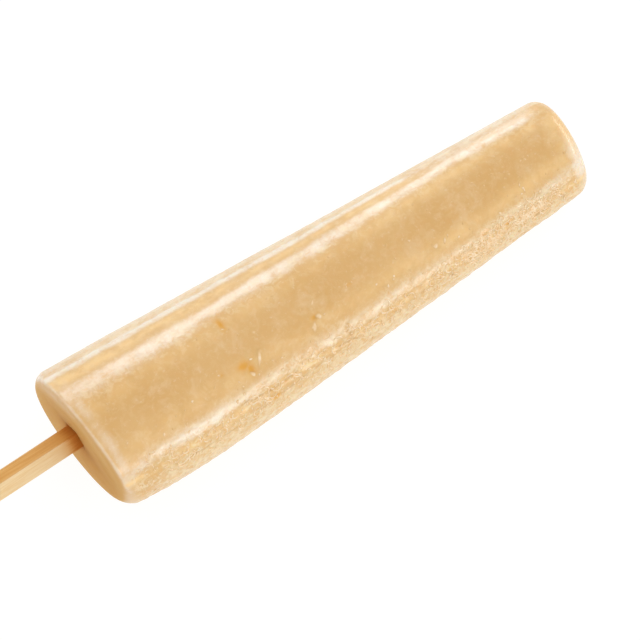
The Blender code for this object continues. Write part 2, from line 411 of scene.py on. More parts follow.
# Where the stick goes in, the milk has drawn back from it a little, and the face round the stick is painted
# darker as painted shade.
STICK_WIDTH = 0.0039
STICK_LEFT = 0.0023
STICK_ABOVE = 0.0015
STICK_TURN = radians(45 + 6)
HOLE_POWER = 6  # 2 would make the hole round, and more makes it squarer
side_by_side = ring_radius * np.sin(ring_turn) - STICK_LEFT
up_and_down = ring_radius * np.cos(ring_turn) - STICK_ABOVE
across = side_by_side * cos(STICK_TURN) + up_and_down * sin(STICK_TURN)
athwart = up_and_down * cos(STICK_TURN) - side_by_side * sin(STICK_TURN)
both_ways = np.abs(across) ** HOLE_POWER + np.abs(athwart) ** HOLE_POWER
from_stick = both_ways ** (1 / HOLE_POWER) - STICK_WIDTH / 2
at_mouth = 1 - step(far, 0.5, 1.2)
mouth_part = np.clip(ring_radius / (MOUTH_RADIUS - 0.0030), 0, 1)
clear_of_stick = np.maximum(from_stick, 0)
entry = np.exp(-clear_of_stick / 0.00028) * at_mouth
sunk = (1 - step(from_stick, 0, 0.0110)) * at_mouth
relief -= 0.00090 * entry + 0.00062 * sunk
# Painted shade round the stick on the mouth face, softer on its upper side, and a darker painted shade close
# round it.
shade = np.exp(-clear_of_stick / (0.0048 + 0.0030 * rightness(ring_turn))) * at_mouth
shade = shade * (1 - 0.50 * step(np.cos(ring_turn - radians(35)), 0.1, 0.8))
near_stick_shade = np.exp(-clear_of_stick / 0.0013) * at_mouth
# The mouth face painted lighter towards its rim and on its upper left: painted light.
upper_left = step(np.sin(ring_turn - radians(10)), -0.2, 0.8) * step(mouth_part, 0.25, 0.75)
painted_edge_light = np.maximum(step(mouth_part, 0.70, 1.05), 0.5 * upper_left) * at_mouth
# On the mouth face's upper-left rim, a painted highlight where the rim line catches the light.
rim_highlight = step(ring_radius / MOUTH_RADIUS, 0.70, 0.94) * band(round_about, 38, 46)
rim_highlight = rim_highlight * (1 - step(far, 0.5, 2.0))
pale = np.maximum(pale, 0.7 * rim_highlight)

# The skin itself: every point of the smooth bar moved outwards by the relief.
along_way = np.gradient(smooth_points, axis=0)
round_way = (np.roll(smooth_points, -1, axis=1) - np.roll(smooth_points, 1, axis=1)) / 2
outwards = np.cross(round_way, along_way)
outwards /= np.maximum(np.linalg.norm(outwards, axis=-1, keepdims=True), 1e-12)
if outwards[len(outwards) // 2, AROUND // 2][2] < 0:
    outwards = -outwards
points = smooth_points + outwards * relief[..., None] + shift
points[..., 2] = np.maximum(points[..., 2], LEAST_HEIGHT)


def closed_skin(name, grid, fields):
    """A mesh with one quad for each cell of a grid of rings, closed at both ends, carrying the fields."""
    rings, count = grid.shape[:2]
    corners = grid.reshape(-1, 3).tolist()
    corners.append(grid[0].mean(axis=0).tolist())
    corners.append(grid[-1].mean(axis=0).tolist())
    first = rings * count
    last = first + 1
    faces = []
    for ring in range(rings - 1):
        for place in range(count):
            after = (place + 1) % count
            a, b = ring * count + place, ring * count + after
            faces.append((a, b, b + count, a + count))
    for place in range(count):
        after = (place + 1) % count
        faces.append((first, after, place))
        faces.append((last, (rings - 1) * count + place, (rings - 1) * count + after))
    mesh = bpy.data.meshes.new(name)
    mesh.from_pydata(corners, [], faces)
    for field, values in fields.items():
        ends = [float(values[0].mean()), float(values[-1].mean())]
        layer = mesh.attributes.new(field, "FLOAT", "POINT")
        layer.data.foreach_set("value", np.append(values.reshape(-1), ends).astype(np.float32))
    mesh.shade_smooth()
    mesh.validate()
    return mesh


def show(name, mesh, stands_for):
    """Puts a mesh in the scene as a piece of the kulfi, in place of the solid it stands for, if any."""
    piece = bpy.data.objects.new(name, mesh)
    bpy.context.scene.collection.objects.link(piece)
    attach(piece, "root")
    if stands_for:
        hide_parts(stands_for)


# Less of the mouth face's own tone where the rim's painted highlight lies.
mouth_share = (1 - step(far, 0.2, 1.0)) * (1 - 0.45 * rim_highlight)
bar_fields = {
    "rough": rough,
    "pale": pale,
    # frost, with painted highlight and painted sheen
    "frost_and_highlight": frost_and_highlight,
    "cream": cream,
    # frost and painted highlight
    "amber": amber,
    "clear": clear,
    # darker painted shade close round the stick
    "near_stick_shade": near_stick_shade,
    "crack": cracks,
    "curly": curly * np.maximum(on_side, at_tip),
    "entry": entry,
    # painted shade round the stick
    "shade": shade,
    # painted light towards the mouth face's rim
    "edge": painted_edge_light,
    "mouth": mouth_share,
}
bar_mesh = closed_skin("kulfi_bar", points, bar_fields)
show("kulfi_bar", bar_mesh, "kulfi")


class Recipe:
    """The nodes of a material, or of the light all round, added one after another."""

    def __init__(self, owner):
        owner.use_nodes = True
        self.owner = owner
        self.nodes = owner.node_tree.nodes
        self.links = owner.node_tree.links
        self.shader = self.nodes.get("Principled BSDF") or self.nodes["Background"]

    def add(self, kind, settings=(), **inputs):
        """A new node with these settings of its own, and these inputs linked or set."""
        node = self.nodes.new(kind)
        for name, value in dict(settings).items():
            setattr(node, name, value)
        for name, value in inputs.items():
            self.put(node, name.replace("_", " "), value)
        return node

    def put(self, node, name, value):
        """Links a node's output to an input, or sets the input to a plain number or colour."""
        if isinstance(value, bpy.types.NodeSocket):
            self.links.new(value, node.inputs[name])
        else:
            node.inputs[name].default_value = value

    def places(self, stretch=(1, 1, 1)):
        """Places on the piece itself; a stretch under 1 draws what is made from them out along that axis."""
        spot = self.add("ShaderNodeTexCoord").outputs["Object"]
        return self.add("ShaderNodeMapping", Vector=spot, Scale=stretch).outputs["Vector"]

    def lumps(self, size, detail=2.0, places=None, rough=0.5, twist=0.0):
        """Cloudy noise with lumps of this size in metres."""
        node = self.add(
            "ShaderNodeTexNoise", Scale=1 / size, Detail=detail, Roughness=rough, Distortion=twist
        )
        self.links.new(places or self.places(), node.inputs["Vector"])
        return node.outputs["Fac"]

    def field(self, name):
        """One of the values that the mesh carries at each point."""
        return self.add("ShaderNodeAttribute", {"attribute_name": name}).outputs["Fac"]

    def fit(self, value, low, high, to_low=0.0, to_high=1.0):
        """Eases from one number to another as a value goes from low to high."""
        eased = {"interpolation_type": "SMOOTHSTEP"}
        ends = {"From_Min": low, "From_Max": high, "To_Min": to_low, "To_Max": to_high}
        return self.add("ShaderNodeMapRange", eased, Value=value, **ends).outputs["Result"]

    def maths(self, operation, one, other):
        """Two values, or a value and a number, put together by this operation."""
        node = self.add("ShaderNodeMath", {"operation": operation})
        self.put(node, 0, one)
        self.put(node, 1, other)
        return node.outputs["Value"]

    def times(self, one, other):
        return self.maths("MULTIPLY", one, other)

    def plus(self, one, other):
        return self.maths("ADD", one, other)

    def less(self, one, other):
        return self.maths("SUBTRACT", one, other)

    def blend(self, share, one, other):
        """A colour that is one where the share is 0 and the other where it is 1."""
        node = self.add("ShaderNodeMix", {"data_type": "RGBA"})
        self.put(node, 0, share)
        self.put(node, 6, one)
        self.put(node, 7, other)
        return node.outputs[2]

    def bumps(self, height, distance):
        """A surface raised by this much, in metres, where the height is 1."""
        return self.add("ShaderNodeBump", Height=height, Distance=distance).outputs["Normal"]


# Frozen milk: caramel cream, a little see-through, with a wet sheen and fine frost where it is rough, and
# painted highlight and painted sheen laid pale and white along its bands, seam, rim and tip.
MILK = (0.750, 0.462, 0.182, 1)
MILK_DEEP = (0.720, 0.425, 0.150, 1)
MILK_PALE = (0.820, 0.575, 0.310, 1)
MILK_BROWN = (0.480, 0.205, 0.034, 1)
# Pale and white for frost, used too for painted highlight and painted sheen.
PALE_FROST_AND_SHEEN = (0.930, 0.810, 0.655, 1)
FROST_HIGHLIGHT_WHITE = (0.980, 0.920, 0.810, 1)
CREAM = (0.935, 0.742, 0.448, 1)
CLEAR = (0.960, 0.660, 0.300, 1)
WARM = (0.790, 0.440, 0.130, 1)
MOUTH = (0.650, 0.350, 0.100, 1)
# Lighter towards the mouth face's rim: painted light.
MOUTH_LIT_EDGE = (0.690, 0.400, 0.135, 1)
# Darker close round the stick: painted shade.
NEAR_STICK_SHADE_BROWN = (0.380, 0.130, 0.014, 1)
AMBER = (0.770, 0.370, 0.045, 1)
CRACK = (0.520, 0.260, 0.055, 1)

milk = Recipe(bpy.data.materials.new("frozen_milk"))
rough_zone = milk.field("rough")
clouds = milk.fit(milk.lumps(0.012, 3), 0.35, 0.68)
colour = milk.blend(clouds, MILK_DEEP, MILK)
faint_patches = milk.fit(milk.lumps(0.0042, 5, rough=0.66, twist=0.5), 0.47, 0.68, 0.0, 0.50)
colour = milk.blend(faint_patches, colour, MILK_PALE)
specks = milk.fit(milk.lumps(0.0007, 3, rough=0.6), 0.58, 0.75, 0.0, 0.20)
colour = milk.blend(specks, colour, PALE_FROST_AND_SHEEN)
coarse_mottling = milk.times(milk.lumps(0.0024, 4, rough=0.65), 0.75)
mottling = milk.plus(coarse_mottling, milk.times(milk.lumps(0.0007, 2), 0.45))
uneven = milk.times(milk.less(mottling, 0.60), 1.25)
paleness = milk.plus(milk.field("pale"), milk.times(uneven, milk.plus(milk.field("pale"), 0.1)))
creaminess = milk.plus(milk.field("cream"), milk.times(uneven, milk.plus(milk.field("cream"), 0.08)))
colour = milk.blend(milk.fit(creaminess, 0.0, 1.1, 0.0, 0.66), colour, CREAM)
# Pale over the skin: frost, and painted highlight and painted sheen.
colour = milk.blend(milk.fit(paleness, 0.0, 1.1, 0.0, 0.60), colour, PALE_FROST_AND_SHEEN)
# Whiter still: frost and painted highlight.
frost_and_highlight_share = milk.plus(milk.field("frost_and_highlight"), milk.times(uneven, milk.field("frost_and_highlight")))
colour = milk.blend(milk.fit(frost_and_highlight_share, 0.0, 1.1, 0.0, 0.80), colour, FROST_HIGHLIGHT_WHITE)
clear_places = milk.fit(milk.lumps(0.0040, 4, rough=0.6), 0.36, 0.60, 0.40, 0.95)
colour = milk.blend(milk.times(milk.field("clear"), clear_places), colour, CLEAR)
crumbling = milk.lumps(0.0015, 4, rough=0.66, twist=0.6)
crumbly = milk.plus(milk.times(rough_zone, 0.90), 0.05)
colour = milk.blend(milk.times(crumbly, milk.fit(crumbling, 0.50, 0.62, 0.0, 0.78)), colour, CREAM)
colour = milk.blend(milk.times(crumbly, milk.fit(crumbling, 0.38, 0.49, 0.65, 0.0)), colour, WARM)
swirls = milk.lumps(0.0024, 3, rough=0.55, twist=1.3)
from_middle = milk.maths("ABSOLUTE", milk.less(swirls, 0.5), 0.0)
ridges = milk.times(milk.fit(from_middle, 0.0, 0.055, 1.0, 0.0), milk.field("curly"))
colour = milk.blend(milk.times(ridges, 0.85), colour, CREAM)
colour = milk.blend(milk.times(milk.field("amber"), 0.95), colour, AMBER)
colour = milk.blend(milk.times(milk.field("crack"), 0.75), colour, CRACK)
face_clouds = milk.fit(milk.lumps(0.0060, 4, rough=0.55), 0.40, 0.66, 0.0, 0.25)
face_tone = milk.blend(face_clouds, MOUTH, MILK_BROWN)
# Over the mouth face's own tone: painted shade round the stick, painted light towards its rim, and a darker
# painted shade close round the stick.
for field, share, tint in (("shade", 0.85, MILK_BROWN), ("edge", 0.80, MOUTH_LIT_EDGE), ("near_stick_shade", 0.85, NEAR_STICK_SHADE_BROWN)):
    face_tone = milk.blend(milk.times(milk.field(field), share), face_tone, tint)
colour = milk.blend(milk.times(milk.field("mouth"), 0.95), colour, face_tone)
colour = milk.blend(milk.times(milk.field("entry"), 0.80), colour, CRACK)
milk.put(milk.shader, "Base Color", colour)
dulling = milk.fit(milk.lumps(0.0022, 4, rough=0.65), 0.35, 0.70, 0.38, 0.56)
dulling = milk.plus(dulling, milk.times(rough_zone, 0.14))
dulling = milk.plus(dulling, milk.times(milk.field("mouth"), 0.42))
milk.put(milk.shader, "Roughness", dulling)
fine = milk.times(milk.lumps(0.00055, 3, rough=0.6), milk.plus(milk.times(rough_zone, 0.9), 0.25))
coarse = milk.times(crumbling, milk.plus(milk.times(rough_zone, 1.5), 0.35))
swells = milk.plus(milk.times(milk.lumps(0.0019, 2), 0.55), milk.times(ridges, 0.6))
rise = milk.plus(milk.plus(fine, coarse), swells)
rise = milk.times(rise, milk.less(1.0, milk.times(milk.field("mouth"), 0.65)))
milk.put(milk.shader, "Normal", milk.bumps(rise, 0.00009))
milk.put(milk.shader, "Subsurface Weight", 0.25)
milk.put(milk.shader, "Subsurface Radius", (1.0, 0.62, 0.35))
milk.put(milk.shader, "Subsurface Scale", 0.0012)
milk.put(milk.shader, "IOR", 1.42)
milk.put(milk.shader, "Specular IOR Level", 0.20)
milk.put(milk.shader, "Coat Weight", milk.less(0.62, milk.times(milk.field("mouth"), 0.60)))
milk.put(milk.shader, "Coat Roughness", 0.27)
milk.put(milk.shader, "Coat IOR", 1.4)
bar_mesh.materials.append(milk.owner)


# Loose bits of milk on the skin: pale flecks, thin slivers and curls of frost, all frozen to the bar.
# Each is a small lump, half sunk, of the same milk, whiter because air and ice are beaten into it.

BOX_MARGIN = 0.00002
BIT_SHARP = radians(65)  # edges of a bit sharper than this stay sharp

side_rows = np.arange(MOUTH_RINGS + 1, MOUTH_RINGS + 2 * ROUND_RINGS + SIDE_RINGS - 2)
turn_degrees = np.degrees(turns)


def skin_at(place, turn):
    """The skin's point this many mm from the mouth and degrees from straight up, and three ways there:

    out of the skin, on towards the tip, and round to the left.
    """
    column = float(np.interp(turn, turn_degrees, np.arange(AROUND)))
    left = min(int(column), AROUND - 2)
    row = float(np.interp(place, far[side_rows, left], side_rows))
    low = int(row)
    share_row = row - low
    share_column = column - left
    weights = {
        (low, left): (1 - share_row) * (1 - share_column),
        (low, left + 1): (1 - share_row) * share_column,
        (low + 1, left): share_row * (1 - share_column),
        (low + 1, left + 1): share_row * share_column,
    }
    spot = sum(weight * points[cell] for cell, weight in weights.items())
    out = sum(weight * outwards[cell] for cell, weight in weights.items())
    out = out / np.linalg.norm(out)
    onwards = along_way[low, left] - out * np.dot(along_way[low, left], out)
    onwards = onwards / np.linalg.norm(onwards)
    return spot, out, onwards, np.cross(out, onwards)


def join(name, shapes):
    """One mesh of many small closed shapes, each as (corners, faces, how far in each corner is)."""
    corners = []
    faces = []
    middles = []
    for shape_corners, shape_faces, shape_middles in shapes:
        start = len(corners)
        corners.extend(shape_corners)
        middles.extend(shape_middles)
        faces.extend([tuple(start + corner for corner in face) for face in shape_faces])
    mesh = bpy.data.meshes.new(name)
    mesh.from_pydata([tuple(corner) for corner in corners], [], faces)
    outer = bmesh.new()
    outer.from_mesh(mesh)
    bmesh.ops.recalc_face_normals(outer, faces=outer.faces)
    outer.to_mesh(mesh)
    outer.free()
    layer = mesh.attributes.new("middle", "FLOAT", "POINT")
    layer.data.foreach_set("value", middles)
    mesh.shade_smooth()
    mesh.set_sharp_from_angle(angle=BIT_SHARP)
    mesh.validate()
    return mesh


def inside(corners):
    """Whether all of a shape lies inside the solid's box and above the table."""
    corners = np.array(corners)
    low = np.array(solid_low) + BOX_MARGIN
    high = np.array(solid_high) - BOX_MARGIN
    return bool((corners >= low).all() and (corners <= high).all())


FLECK_RINGS = 6
FLECK_COLUMNS = 16
FLECK_SUNK = 0.12  # the share of its height by which a fleck's edge is under the skin


def fleck(place, turn, length, width, height, heading, seed, strength=1.0):
    """A low uneven mound on the skin, its length at this heading from the bar's own way."""
    spot, out, onwards, leftwards = skin_at(place, turn)
    across_way = onwards * cos(heading) + leftwards * sin(heading)
    aside_way = leftwards * cos(heading) - onwards * sin(heading)
    corners = []
    values = []
    for ring in range(1, FLECK_RINGS + 1):
        part = ring / FLECK_RINGS
        for column in range(FLECK_COLUMNS):
            turned = 2 * pi * column / FLECK_COLUMNS
            around = Vector((cos(turned) * 0.9 + seed * 3.1, sin(turned) * 0.9 + seed * 1.7, 0))
            swell = 1 + 0.55 * noise.noise(around)
            lumpy = 1 + 0.5 * noise.noise(around * 1.8 + Vector((0, 0, part * 1.5)))
            long_part = cos(turned) * part * length / 2 * swell
            wide_part = sin(turned) * part * width / 2 * swell
            rise = height * (lumpy * (1 - part**2) ** 1.3 - FLECK_SUNK)
            corners.append(spot + across_way * long_part + aside_way * wide_part + out * rise)
            values.append((1 - part) * strength)
    corners.append(spot + out * height * 0.9)
    corners.append(spot - out * height)
    values.extend([strength, 0.0])
    faces = []
    top = len(corners) - 2
    under = len(corners) - 1
    outer = (FLECK_RINGS - 1) * FLECK_COLUMNS
    for column in range(FLECK_COLUMNS):
        after = (column + 1) % FLECK_COLUMNS
        faces.append((top, column, after))
        for ring in range(FLECK_RINGS - 1):
            a, b = ring * FLECK_COLUMNS + column, ring * FLECK_COLUMNS + after
            faces.append((a, a + FLECK_COLUMNS, b + FLECK_COLUMNS, b))
        faces.append((under, outer + after, outer + column))
    return corners, faces, values


# The larger flecks of this bar: place, turn, length, width and height in mm, and heading.
LARGE_FLECKS = [
    (37.75, -24.0, 3.5, 0.70, 0.060, 61),
    (38.7, -19.6, 0.9, 0.50, 0.045, 60),
    (35.0, -32.5, 1.6, 0.90, 0.03, 110),
    (53.2, -9.5, 1.4, 0.40, 0.042, 40),
    (52.9, -21.6, 1.3, 0.95, 0.12, 150),
    (54.1, -22.4, 0.8, 0.45, 0.072, 20),
    (51.0, -27.0, 2.1, 1.10, 0.024, 40),
    (81.5, -26.5, 1.25, 1.05, 0.096, 0),
    (83.9, -26.5, 1.6, 0.40, 0.072, 62),
    (84.9, -24.2, 0.9, 0.35, 0.06, 70),
    (77.3, -9.5, 0.8, 0.6, 0.078, 0),
    (70.4, -30.5, 0.8, 0.5, 0.078, 30),
    (39.7, -5.0, 1.0, 0.6, 0.078, 155),
    (39.9, -31.0, 0.7, 0.6, 0.09, 0),
    (28.7, -18.0, 0.7, 0.55, 0.09, 0),
    (5.6, -24.0, 0.8, 0.5, 0.072, 30),
    (61.2, -11.6, 0.9, 0.3, 0.06, 25),
    (62.4, -12.6, 0.7, 0.3, 0.06, 120),
    (60.9, -13.4, 0.7, 0.3, 0.06, 80),
    (63.2, -10.9, 0.6, 0.3, 0.06, 160),
    (34.8, 9.5, 0.9, 0.35, 0.054, 160),
    (106.4, -1.5, 0.8, 0.35, 0.06, 30),
    (107.4, -2.6, 0.7, 0.35, 0.06, 110),
    (108.3, -0.9, 0.6, 0.35, 0.06, 70),
    (104.1, -28.0, 1.4, 0.35, 0.06, 80),
    (103.6, -21.5, 0.9, 0.4, 0.06, 70),
    (57.6, -44.2, 1.7, 0.45, 0.132, 105),
    (58.3, -50.8, 1.0, 0.45, 0.12, 30),
    (30.4, -46.6, 1.1, 0.5, 0.096, 20),
    (32.2, -46.0, 0.9, 0.5, 0.096, 150),
    (38.9, -59.6, 0.9, 0.6, 0.108, 20),
]
# A mound's edge is under the skin, so each is laid out longer and wider than it shows, by these shares.
SHOWN_LENGTH = 0.90
SHOWN_WIDTH = 0.75
PALE_LENGTH = 1.2  # flecks this long, in mm, or longer are the palest
SMALL_FLECKS = 330
FRONT_SHARE = 0.26  # of the small flecks, those on the smooth front; the others lie on the crumbly strip
FIRST_SEED = 100

dice = random.Random(41)
flecks = []
for index, (place, turn, length, width, height, heading) in enumerate(LARGE_FLECKS):
    laid_length = length / SHOWN_LENGTH / MM
    laid_width = width / SHOWN_WIDTH / MM
    strength = 0.85 if length >= PALE_LENGTH else 0.50
    shape = fleck(place, turn, laid_length, laid_width, height / MM, radians(heading), index, strength)
    if inside(shape[0]):
        flecks.append(shape)
for index in range(SMALL_FLECKS):
    in_front = dice.random() < FRONT_SHARE
    place = dice.uniform(3, 117)
    if in_front:
        turn = dice.uniform(-40, 18)
        size = dice.uniform(0.25, 0.60)
        strength = dice.uniform(0.10, 0.38)
    else:
        turn = dice.gauss(-58, 13)
        size = dice.uniform(0.30, 0.75)
        strength = 0.95
    length = size * dice.uniform(1.0, 2.0) / MM
    height = size * dice.uniform(0.08, 0.18) / MM
    heading = dice.uniform(0, pi)
    shape = fleck(place, turn, length, size / MM, height, heading, FIRST_SEED + index, strength)
    if inside(shape[0]):
        flecks.append(shape)
fleck_mesh = join("milk_flecks", flecks)
show("milk_flecks", fleck_mesh, None)

CURL_STEPS = 13
# A curl's section: how far aside and how high each corner is, in parts of its half width, and how pale.
CURL_SECTION = [(-1, -0.25, 0), (-0.6, 0.40, 0.7), (0, 0.80, 1),
                (0.6, 0.40, 0.7), (1, -0.25, 0), (0, -0.8, 0)]
# Where the curls lie: how many, from and to which place, about which turn, and how widely spread.
CURL_GROUPS = [
    (210, 86, 111, -57, 7),
    (90, 6, 88, -53, 4),
    (100, 10, 95, -63, 6),
    (25, 20, 112, -66, 5),
]


def curl(place, turn, radius, sweep, heading, thick):
    """A thin curved ridge lying on the skin, this radius in mm and this thick in metres."""
    sides = len(CURL_SECTION)
    corners = []
    values = []
    for number in range(CURL_STEPS):
        share = number / (CURL_STEPS - 1)
        angle = heading + (share - 0.5) * sweep
        go = radius * (cos(angle) - cos(heading))
        climb = radius * (sin(angle) - sin(heading))
        here = cone_radius(x_of(place)) * MM
        spot, out, onwards, leftwards = skin_at(place + go, turn + np.degrees(climb / here))
        tangent = leftwards * cos(angle) - onwards * sin(angle)
        side_way = np.cross(out, tangent)
        slim = thick * (sin(pi * (0.06 + 0.88 * share)) ** 0.7)
        for aside, high, middle in CURL_SECTION:
            corners.append(spot + side_way * aside * slim + out * high * slim)
            values.append(middle * slim / thick)
    faces = []
    for number in range(CURL_STEPS - 1):
        for side in range(sides):
            after = (side + 1) % sides
            a, b = number * sides + side, number * sides + after
            faces.append((a, b, b + sides, a + sides))
    faces.append(tuple(range(sides))[::-1])
    faces.append(tuple((CURL_STEPS - 1) * sides + side for side in range(sides)))
    return corners, faces, values


curl_shapes = []
for count, first_place, last_place, middle_turn, spread in CURL_GROUPS:
    for number in range(count):
        place = dice.uniform(first_place, last_place)
        turn = dice.gauss(middle_turn, spread)
        radius = dice.uniform(0.45, 1.30)
        sweep = dice.uniform(0.8, 4.2)
        thick = dice.uniform(0.00012, 0.00024)
        heading = dice.uniform(0, 2 * pi)
        shape = curl(place, turn, radius, sweep, heading, thick)
        if inside(shape[0]):
            curl_shapes.append(shape)
curl_mesh = join("frost_curls", curl_shapes)
show("frost_curls", curl_mesh, None)


def bit_finish(name, lump_size, inward, edge_colour, darker, paler):
    """The finish of loose bits: this colour at their edge, and between the other two further in."""
    finish = Recipe(bpy.data.materials.new(name))
    tone = finish.fit(finish.lumps(lump_size, 3), 0.35, 0.70)
    middle = finish.fit(finish.field("middle"), *inward)
    colour = finish.blend(middle, edge_colour, finish.blend(tone, darker, paler))
    finish.put(finish.shader, "Base Color", colour)
    finish.put(finish.shader, "Roughness", finish.fit(tone, 0.0, 1.0, 0.40, 0.55))
    finish.put(finish.shader, "Normal", finish.bumps(finish.lumps(0.0004, 2), 0.00002))
    finish.put(finish.shader, "Specular IOR Level", 0.30)
    return finish.owner


FLECK_DARKER = (0.86, 0.60, 0.33, 1)
FLECK_PALER = (0.93, 0.74, 0.50, 1)
CURL_EDGE = (0.850, 0.540, 0.210, 1)
CURL_DARKER = (0.92, 0.66, 0.38, 1)
CURL_PALER = (0.98, 0.81, 0.58, 1)
fleck_finish = bit_finish("milk_flecks", 0.0009, (0.05, 0.60), MILK, FLECK_DARKER, FLECK_PALER)
curl_finish = bit_finish("frost_curls", 0.0012, (0.10, 0.85), CURL_EDGE, CURL_DARKER, CURL_PALER)
fleck_mesh.materials.append(fleck_finish)
curl_mesh.materials.append(curl_finish)


# The stick. A square bamboo rod, planed smooth, set in the milk before it froze, one corner up.
# It is bare and pale on its inner faces, browner on the cane's outer ones, and stained where it is wet.

STICK_INSIDE = 0.068
STICK_OUTSIDE = 0.078
STICK_YAW = radians(1.0)
STICK_RISE = radians(2.7)
STICK_END = 0.00005  # by which each end stays inside the solid's
STICK_SIDE = 0.00003  # by which each face stays inside the solid's
STICK_BEVEL = 0.00018
STICK_RINGS = 170
END_RINGS = [0.25, 0.5, 0.75, 0.88, 0.955, 1.0]  # how wide the rings of the cut end and its bevel are
FACE_COLUMNS = 14
CORNER_POWER = 36  # 2 would make the rod round, and more makes its corners sharper
STICK_SHARP = radians(50)
CANE_FACES = (0, 2)  # the faces next to the cane's outer skin; the others are inner wood
SHADED_FACES = (1, 3)
WET_START = 0.0006  # how far out of the bar the stick is wet through
WET_REACH = 0.0040
WET_REACH_SHADED = 0.0031

half = STICK_WIDTH / 2 - STICK_SIDE
outline = []
for corner in range(4):
    for column in range(FACE_COLUMNS):
        part = sin(pi / 2 * (column / FACE_COLUMNS * 2 - 1))
        quarter = corner * pi / 2
        flat_z = half * part
        turned_y = half * cos(quarter) - flat_z * sin(quarter)
        turned_z = half * sin(quarter) + flat_z * cos(quarter)
        outline.append((turned_y, turned_z, corner, part))
stick_fields = {"skin": [], "wet": [], "corner": [], "cut": []}
stick_grid = []
lengths = np.linspace(-STICK_OUTSIDE + STICK_END, STICK_INSIDE - STICK_END, STICK_RINGS)
cut_rings = len(END_RINGS) - 1
lengths = np.concatenate([[lengths[0]] * cut_rings, [lengths[0] + STICK_BEVEL], lengths[1:]])
insets = np.ones(len(lengths))
insets[:len(END_RINGS)] = END_RINGS
for number, place in enumerate(lengths):
    ring = []
    for y, z, corner, part in outline:
        square = (abs(y) ** CORNER_POWER + abs(z) ** CORNER_POWER) ** (1 / CORNER_POWER)
        scale = half / square * insets[number]
        fibre = noise.noise(Vector((place * 60, y * 2600, z * 2600)))
        swell = noise.noise(Vector((place * 30, corner * 5.0, 0.5)))
        frayed = noise.noise(Vector((y * 3200, z * 3200, 4.5))) if number <= cut_rings else 0.0
        shrink = scale * (1 - (0.008 * fibre + 0.008 * swell + 0.012))
        ring.append((place + 0.00006 * abs(frayed), y * shrink, z * shrink))
        reach = WET_REACH_SHADED if corner in SHADED_FACES else WET_REACH
        stick_fields["skin"].append(1.0 if corner in CANE_FACES else 0.0)
        stick_fields["wet"].append(float(np.exp(-max(-place - WET_START, 0) / reach)))
        stick_fields["corner"].append(float(np.exp(-(1 - abs(part)) / 0.09)))
        stick_fields["cut"].append(1.0 if number < cut_rings else 0.0)
    stick_grid.append(ring)
stick_grid = np.array(stick_grid)
rise_turn = Matrix.Rotation(STICK_RISE, 3, "Y") @ Matrix.Rotation(STICK_TURN, 3, "X")
aimed = Matrix.Rotation(STICK_YAW, 3, "Z") @ rise_turn
stick_grid = stick_grid @ np.array(aimed).T
mouth_middle = on_bar(np.array(x_of(0)), np.array(0.0), np.array(0.0)) + shift
stick_grid = stick_grid + mouth_middle + np.array([0, STICK_LEFT, STICK_ABOVE])
stick_values = {name: np.array(values).reshape(stick_grid.shape[:2]) for name, values in stick_fields.items()}
stick_mesh = closed_skin("bamboo_stick", stick_grid, stick_values)
stick_mesh.set_sharp_from_angle(angle=STICK_SHARP)
show("bamboo_stick", stick_mesh, "stick")

INNER_WOOD = (0.87, 0.61, 0.310, 1)
INNER_PALE = (0.95, 0.74, 0.45, 1)
CANE_BROWN = (0.70, 0.355, 0.100, 1)
CANE_PALE = (0.80, 0.450, 0.150, 1)
WOOD_CLOUD = (0.66, 0.38, 0.13, 1)
CORNER_PALE = (0.96, 0.78, 0.50, 1)
DAMP = (0.70, 0.330, 0.075, 1)
WET = (0.46, 0.134, 0.012, 1)
END_PALE = (0.80, 0.56, 0.30, 1)
END_DARK = (0.42, 0.22, 0.08, 1)

bamboo = Recipe(bpy.data.materials.new("bamboo"))
fibres = bamboo.lumps(0.00035, 4, bamboo.places((0.03, 1, 1)), rough=0.6)
tone = bamboo.lumps(0.004, 2, bamboo.places((0.15, 1, 1)))
inner = bamboo.blend(bamboo.fit(fibres, 0.35, 0.7), INNER_WOOD, INNER_PALE)
outer = bamboo.blend(bamboo.fit(fibres, 0.35, 0.7), CANE_BROWN, CANE_PALE)
cane = bamboo.blend(bamboo.field("skin"), inner, outer)
cane = bamboo.blend(bamboo.fit(tone, 0.4, 0.7, 0.0, 0.15), cane, WOOD_CLOUD)
cane = bamboo.blend(bamboo.times(bamboo.field("corner"), 0.65), cane, CORNER_PALE)
streaky = bamboo.plus(bamboo.field("wet"), bamboo.times(bamboo.less(fibres, 0.5), 0.5))
cane = bamboo.blend(bamboo.fit(streaky, 0.10, 0.80, 0.0, 0.92), cane, DAMP)
cane = bamboo.blend(bamboo.fit(streaky, 0.45, 1.05, 0.0, 0.90), cane, WET)
pores = bamboo.fit(bamboo.lumps(0.00022, 2), 0.52, 0.66)
grain_end = bamboo.blend(pores, END_PALE, END_DARK)
cane = bamboo.blend(bamboo.field("cut"), cane, grain_end)
bamboo.put(bamboo.shader, "Base Color", cane)
bamboo.put(bamboo.shader, "Roughness", bamboo.fit(fibres, 0.3, 0.7, 0.56, 0.70))
bamboo.put(bamboo.shader, "Specular IOR Level", 0.04)
bamboo.put(bamboo.shader, "Normal", bamboo.bumps(fibres, 0.00004))
stick_mesh.materials.append(bamboo.owner)


# The table. A wide, plain, matt top in nearly white paint, which hardly darkens under the bar.
# It is only there to lie on, so it is part of the stage and not of the kulfi.

